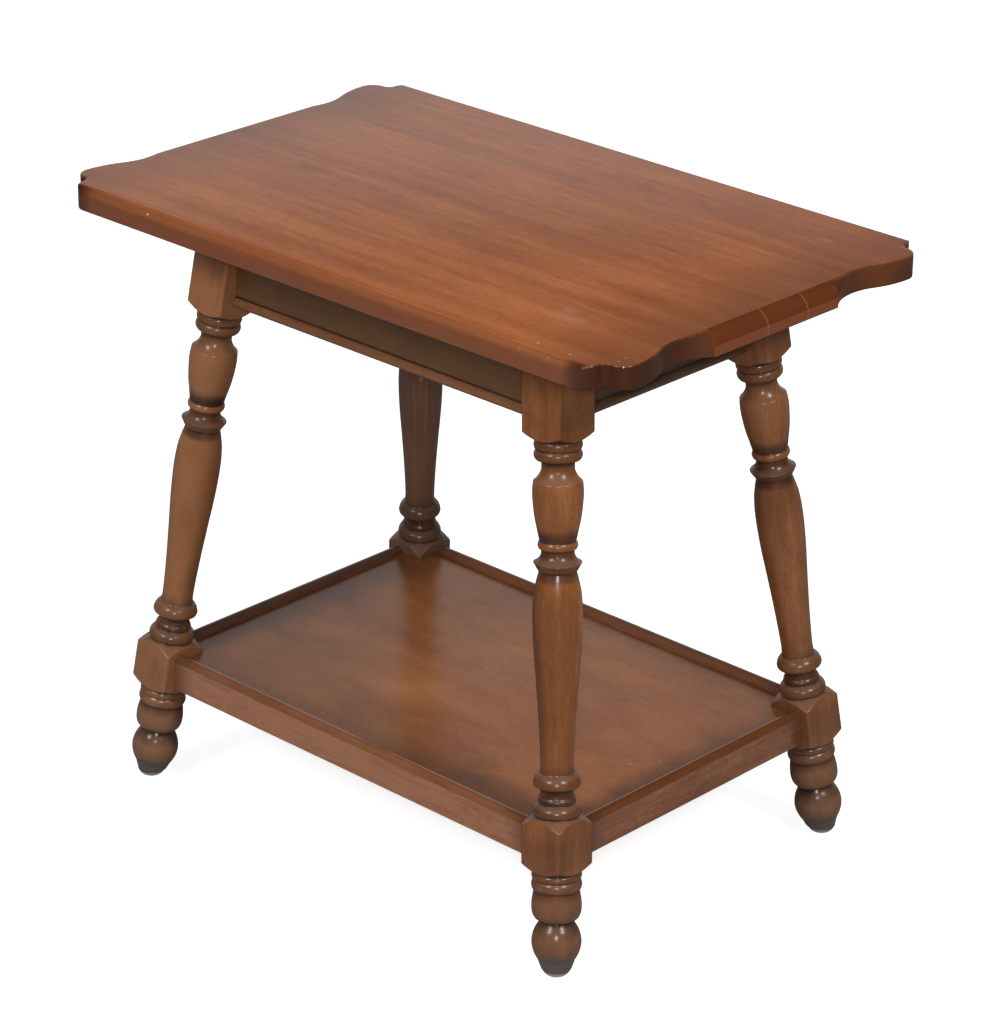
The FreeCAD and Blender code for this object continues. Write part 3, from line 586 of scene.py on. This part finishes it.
def turnedLegTree(material):
    tree = bpy.data.node_groups.new("turnedLeg", "GeometryNodeTree")
    sockets = {
        "Outline": "Geometry", "Stock": "Float", "Corner Power": "Float", "Soften": "Float", "Facets": "Int",
        "Lean": "Rotation", "Stand": "Vector", "Foot Cut": "Float", "Head Cut": "Float", "Length": "Float",
        "Tone": "Float", "Grey": "Float"}
    for name, kind in sockets.items():
        tree.interface.new_socket(name, in_out="INPUT", socket_type="NodeSocket" + kind)
    tree.interface.new_socket("Leg", in_out="OUTPUT", socket_type="NodeSocketGeometry")
    given = add(tree, "NodeGroupInput")
    at = add(tree, "GeometryNodeInputPosition")[0]
    here = add(tree, "ShaderNodeSeparateXYZ", [at])
    onAxis = add(tree, "ShaderNodeCombineXYZ", {"Z": here["Z"]})[0]

    # lathe: the outline becomes a straight path, swept by a circle scaled to the outline's radius
    lathe = add(tree, "GeometryNodeStoreNamedAttribute", {
        "Geometry": given["Outline"], "Name": "latheRadius", "Value": here["X"]}, data_type="FLOAT", domain="POINT")[0]
    lathe = add(tree, "GeometryNodeSetPosition", {"Geometry": lathe, "Position": onAxis})[0]
    path = add(tree, "GeometryNodeMeshToCurve", {"Mesh": lathe})[0]
    ring = add(tree, "GeometryNodeCurvePrimitiveCircle", {"Resolution": given["Facets"], "Radius": 1.0})[0]
    latheRadius = add(tree, "GeometryNodeInputNamedAttribute", {"Name": "latheRadius"}, data_type="FLOAT")[0]
    turned = add(tree, "GeometryNodeCurveToMesh", {
        "Curve": path, "Profile Curve": ring, "Scale": latheRadius, "Fill Caps": True})[0]

    # square it: the reach of the stock's rounded square in each direction, met softly by the turning
    flat = add(tree, "ShaderNodeCombineXYZ", {"X": here["X"], "Y": here["Y"]})[0]
    radius = add(tree, "ShaderNodeVectorMath", [flat], operation="LENGTH")["Value"]
    way = add(tree, "ShaderNodeVectorMath", [flat], operation="NORMALIZE")[0]
    part = add(tree, "ShaderNodeSeparateXYZ", [add(tree, "ShaderNodeVectorMath", [way], operation="ABSOLUTE")[0]])
    partX = add(tree, "ShaderNodeMath", [part["X"], given["Corner Power"]], operation="POWER")[0]
    partY = add(tree, "ShaderNodeMath", [part["Y"], given["Corner Power"]], operation="POWER")[0]
    both = add(tree, "ShaderNodeMath", [partX, partY], operation="ADD")[0]
    root = add(tree, "ShaderNodeMath", [1.0, given["Corner Power"]], operation="DIVIDE")[0]
    spread = add(tree, "ShaderNodeMath", [both, root], operation="POWER")[0]
    halfStock = add(tree, "ShaderNodeMath", [given["Stock"], 0.5], operation="MULTIPLY")[0]
    reach = add(tree, "ShaderNodeMath", [halfStock, spread], operation="DIVIDE")[0]
    shaped = add(tree, "ShaderNodeMath", [radius, reach, given["Soften"]], operation="SMOOTH_MIN")[0]
    place = add(tree, "ShaderNodeVectorMath", {0: way, 3: shaped}, operation="SCALE")[0]
    place = add(tree, "ShaderNodeVectorMath", [place, onAxis], operation="ADD")[0]

    # glaze only where the stock is turned away, and rubbed edges where a block's faces meet its shoulder
    gap = add(tree, "ShaderNodeMath", [radius, reach], operation="SUBTRACT")[0]
    cutIn = add(tree, "ShaderNodeMapRange", [gap, *leg["glazeLip"], 1.0, 0.0])[0]
    gap = add(tree, "ShaderNodeMath", [gap], operation="ABSOLUTE")[0]
    nearEdge = add(tree, "ShaderNodeMapRange", [gap, 0.0, leg["arrisWidth"], 1.0, 0.0])[0]
    shoulder = add(tree, "GeometryNodeInputNamedAttribute", {"Name": "shoulder"}, data_type="FLOAT")[0]
    worn = add(tree, "ShaderNodeMath", [nearEdge, shoulder], operation="MULTIPLY")[0]
    glaze = add(tree, "GeometryNodeInputNamedAttribute", {"Name": "glaze"}, data_type="FLOAT")[0]
    glaze = add(tree, "ShaderNodeMath", [glaze, cutIn], operation="MULTIPLY")[0]
    squared = turned
    for name, value in (("arris", worn), ("glaze", glaze)):
        squared = add(tree, "GeometryNodeStoreNamedAttribute", {
            "Geometry": squared, "Name": name, "Value": value}, data_type="FLOAT", domain="POINT")[0]
    squared = add(tree, "GeometryNodeSetPosition", {"Geometry": squared, "Position": place})[0]
    grainAt = add(tree, "ShaderNodeVectorMath", [at, given["Stand"]], operation="ADD")[0]
    for name, value, kind in (("stockAt", at, "FLOAT_VECTOR"), ("grainAt", grainAt, "FLOAT_VECTOR"),
                              ("legTone", given["Tone"], "FLOAT"), ("legGrey", given["Grey"], "FLOAT")):
        squared = add(tree, "GeometryNodeStoreNamedAttribute", {
            "Geometry": squared, "Name": name, "Value": value}, data_type=kind, domain="POINT")[0]

    # lean it out, then level the cuts at the floor and under the top
    stood = add(tree, "GeometryNodeTransform", {
        "Geometry": squared, "Translation": given["Stand"], "Rotation": given["Lean"]})[0]
    stockAt = add(tree, "GeometryNodeInputNamedAttribute", {"Name": "stockAt"}, data_type="FLOAT_VECTOR")[0]
    along = add(tree, "ShaderNodeSeparateXYZ", [stockAt])["Z"]
    lowEnd = add(tree, "ShaderNodeMath", [given["Foot Cut"], leg["footLevelling"]], operation="ADD")[0]
    highEnd = add(tree, "ShaderNodeMath", [given["Length"], leg["headLevelling"]], operation="SUBTRACT")[0]
    low = add(tree, "ShaderNodeMapRange", [along, given["Foot Cut"], lowEnd, 1.0, 0.0])[0]
    high = add(tree, "ShaderNodeMapRange", [along, highEnd, given["Length"], 0.0, 1.0])[0]
    level = add(tree, "ShaderNodeMix", {0: low, 2: here["Z"], 3: given["Foot Cut"]})[0]
    level = add(tree, "ShaderNodeMix", {0: high, 2: level, 3: given["Head Cut"]})[0]
    cut = add(tree, "ShaderNodeCombineXYZ", {"X": here["X"], "Y": here["Y"], "Z": level})[0]
    cutLeg = add(tree, "GeometryNodeSetPosition", {"Geometry": stood, "Position": cut})[0]
    smooth = add(tree, "GeometryNodeSetShadeSmooth", {"Geometry": cutLeg, "Shade Smooth": True})[0]
    real = add(tree, "GeometryNodeRealizeInstances", {"Geometry": smooth})[0]
    dressed = add(tree, "GeometryNodeSetMaterial", {"Geometry": real, "Material": material})[0]
    add(tree, "NodeGroupOutput", {"Leg": dressed})
    return tree


def growMesh(name, start, tree, values):  # runs a node tree on a start mesh and keeps the result as a plain piece
    holder = bpy.data.objects.new(name + "Start", start)
    bpy.context.scene.collection.objects.link(holder)
    modifier = holder.modifiers.new("grow", "NODES")
    modifier.node_group = tree
    sockets = {item.name: item.identifier for item in tree.interface.items_tree if item.in_out == "INPUT"}
    for key, value in values.items():
        modifier[sockets[key]] = value
    mesh = bpy.data.meshes.new_from_object(holder.evaluated_get(bpy.context.evaluated_depsgraph_get()))
    holder.modifiers.remove(modifier)
    bpy.data.objects.remove(holder)
    mesh.name = name
    piece = bpy.data.objects.new(name, mesh)
    bpy.context.scene.collection.objects.link(piece)
    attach(piece, "root")
    return piece


outline = legOutline()
start = bpy.data.meshes.new("legOutline")
start.from_pydata([(p.x, 0, p.y) for p in outline], [(i, i + 1) for i in range(len(outline) - 1)], [])
for name, values in (("glaze", legGlaze(outline)), ("shoulder", [legShoulder(p) for p in outline])):
    start.attributes.new(name, "FLOAT", "POINT").data.foreach_set("value", values)
legTree = turnedLegTree(stainedMaple("stainedMapleTurning", dict(legLook, patches=legPatches(), coats=legCoats)))
for corner, (sideX, sideY) in corners.items():
    foot = Vector((leg["foot"][0] * sideX, leg["foot"][1] * sideY, 0))
    up = (Vector((leg["head"][0] * sideX, leg["head"][1] * sideY, leg["height"])) - foot).normalized()
    across = (Vector((1, 0, 0)) - up * up.x).normalized()
    turn = Matrix((across, up.cross(across), up)).transposed()
    stainAndPaintedLight = leg["stainAndPaintedLight"][corner]
    piece = growMesh("turnedLeg_" + corner, start.copy(), legTree, {
        "Stock": leg["stock"], "Corner Power": leg["cornerPower"], "Soften": leg["soften"], "Facets": leg["facets"],
        "Lean": list(turn.to_euler()), "Stand": list(foot), "Foot Cut": leg["footCut"], "Head Cut": leg["headCut"],
        "Length": outline[-1].y, "Tone": stainAndPaintedLight["tone"], "Grey": stainAndPaintedLight["grey"]})
    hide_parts("leg_" + corner)
print("legs turned,", len(outline), "rings each")

# Studio: white floor and sweep, a small key lamp near the camera and a larger one at each side
studio = {
    "lamps": {  # azimuth, elevation, distance, width, watts
        "keyLamp": (43.5, 23.5, 3.4, 0.25, 33), "leftLamp": (-2, 40, 3.6, 0.9, 49), "rightLamp": (84, 42, 3.6, 0.9, 56),
    },
    "aim": (0, 0, 0.35), "fill": 0.14, "room": 0.01,  # the room's light on the table, and as its lacquer mirrors it
    "outward": (-0.688, 0.725, 0),  # level, away from the camera
    "floor": {"half": 9, "matt": (0.3, 0.3, 0.3, 1), "white": (0.8, 0.8, 0.8, 1),
              "glow": (0.3, 1.6, 0.8, 0.95),  # evens out the lamps' fall-off
              "mirroredFrom": (1.6, 2.2)},
    # white sweep behind the table, as its lacquer mirrors it
    "card": {"behind": 1.83, "width": 5.0, "bottom": 0.001, "top": 1.21, "glow": 0.53},
}
pureWhite = (1, 1, 1, 1)
outward = Vector(studio["outward"])


def seenRays(tree):  # what kind of ray looks, and whether it is a mirrored one
    seen = add(tree, "ShaderNodeLightPath")
    mirrored = add(tree, "ShaderNodeMath", [seen["Is Glossy Ray"], seen["Is Transmission Ray"]], operation="MAXIMUM")[0]
    return seen["Is Camera Ray"], mirrored


def setBackdrop(name, points, material):
    mesh = bpy.data.meshes.new(name)
    mesh.from_pydata(points, [], [(0, 1, 2, 3)])
    mesh.materials.append(material)
    holder = bpy.data.objects.new(name, mesh)
    bpy.context.scene.collection.objects.link(holder)


for name, (azimuth, elevation, distance, width, watts) in studio["lamps"].items():
    lamp = bpy.data.lights.new(name, "AREA")
    lamp.shape, lamp.size, lamp.energy = "DISK", width, watts
    a, e = math.radians(azimuth), math.radians(elevation)
    away = Vector((math.sin(a) * math.cos(e), -math.cos(a) * math.cos(e), math.sin(e)))
    holder = bpy.data.objects.new(name, lamp)
    holder.location = Vector(studio["aim"]) + away * distance
    holder.rotation_euler = away.to_track_quat("Z", "Y").to_euler()
    bpy.context.scene.collection.objects.link(holder)

# White paper: matt, lit up for the camera, and for the lacquer only on the far side
floor = studio["floor"]
paper, tree = newMaterial("whitePaper")
direct, mirrored = seenRays(tree)
at = add(tree, "ShaderNodeTexCoord")["Object"]
spread = add(tree, "ShaderNodeVectorMath", [at], operation="LENGTH")["Value"]
lift = add(tree, "ShaderNodeMapRange", [spread, *floor["glow"]])[0]
matt = add(tree, "ShaderNodeBsdfDiffuse", {"Color": floor["matt"]})[0]
white = add(tree, "ShaderNodeBsdfDiffuse", {"Color": floor["white"]})[0]
glow = add(tree, "ShaderNodeEmission", {"Color": pureWhite, "Strength": lift})[0]
lit = add(tree, "ShaderNodeAddShader", [white, glow])[0]
farSide = add(tree, "ShaderNodeVectorMath", [at, outward], operation="DOT_PRODUCT")["Value"]
farSide = add(tree, "ShaderNodeMapRange", [farSide, *floor["mirroredFrom"]])[0]
shown = add(tree, "ShaderNodeMath", [mirrored, farSide, direct], operation="MULTIPLY_ADD", use_clamp=True)[0]
add(tree, "ShaderNodeOutputMaterial", {"Surface": add(tree, "ShaderNodeMixShader", [shown, matt, lit])[0]})
around = ((-1, -1), (1, -1), (1, 1), (-1, 1))
setBackdrop("studioFloor", [(floor["half"] * x, floor["half"] * y, 0) for x, y in around], paper)

# White cardboard: only the lacquer sees it
card = studio["card"]
board, tree = newMaterial("whiteCardboard")
mirrored = seenRays(tree)[1]
glow = add(tree, "ShaderNodeEmission", {"Color": pureWhite, "Strength": card["glow"]})[0]
clear = add(tree, "ShaderNodeBsdfTransparent")[0]
add(tree, "ShaderNodeOutputMaterial", {"Surface": add(tree, "ShaderNodeMixShader", [mirrored, clear, glow])[0]})
level = Vector((outward.y, -outward.x, 0)) * card["width"] / 2
edges = ((-1, card["bottom"]), (1, card["bottom"]), (1, card["top"]), (-1, card["top"]))
middle = outward * card["behind"]
setBackdrop("whiteCard", [middle + level * side + Vector((0, 0, height)) for side, height in edges], board)

world = bpy.data.worlds.new("studioRoom")
bpy.context.scene.world = world
world.use_nodes = True
tree = world.node_tree
tree.nodes.clear()
direct, mirrored = seenRays(tree)
room = add(tree, "ShaderNodeMapRange", [mirrored, 0.0, 1.0, studio["fill"], studio["room"]])[0]
strength = add(tree, "ShaderNodeMix", {0: direct, 2: room, 3: 1.0})[0]
sky = add(tree, "ShaderNodeBackground", {"Color": pureWhite, "Strength": strength})[0]
add(tree, "ShaderNodeOutputWorld", {"Surface": sky})
bpy.context.scene.view_settings.view_transform = "Standard"
print("studio lit")

# Camera: where the photograph was taken from
view = {
    "place": (2.0861, -2.1785, 1.6340), "aim": (0.00207, 0.01775, 0.280), "roll": 0.52,
    "focalPixels": 3808.6, "longSide": 1022, "sensor": 36,
}
camera = bpy.data.cameras.new("photoCamera")
camera.sensor_width = view["sensor"]
camera.lens = view["focalPixels"] / view["longSide"] * view["sensor"]
holder = bpy.data.objects.new("photoCamera", camera)
ahead = Vector(view["aim"]) - Vector(view["place"])
holder.location = view["place"]
holder.rotation_mode = "QUATERNION"
holder.rotation_quaternion = ahead.to_track_quat("-Z", "Y") @ Quaternion((0, 0, 1), math.radians(view["roll"]))
bpy.context.scene.collection.objects.link(holder)
bpy.context.scene.camera = holder
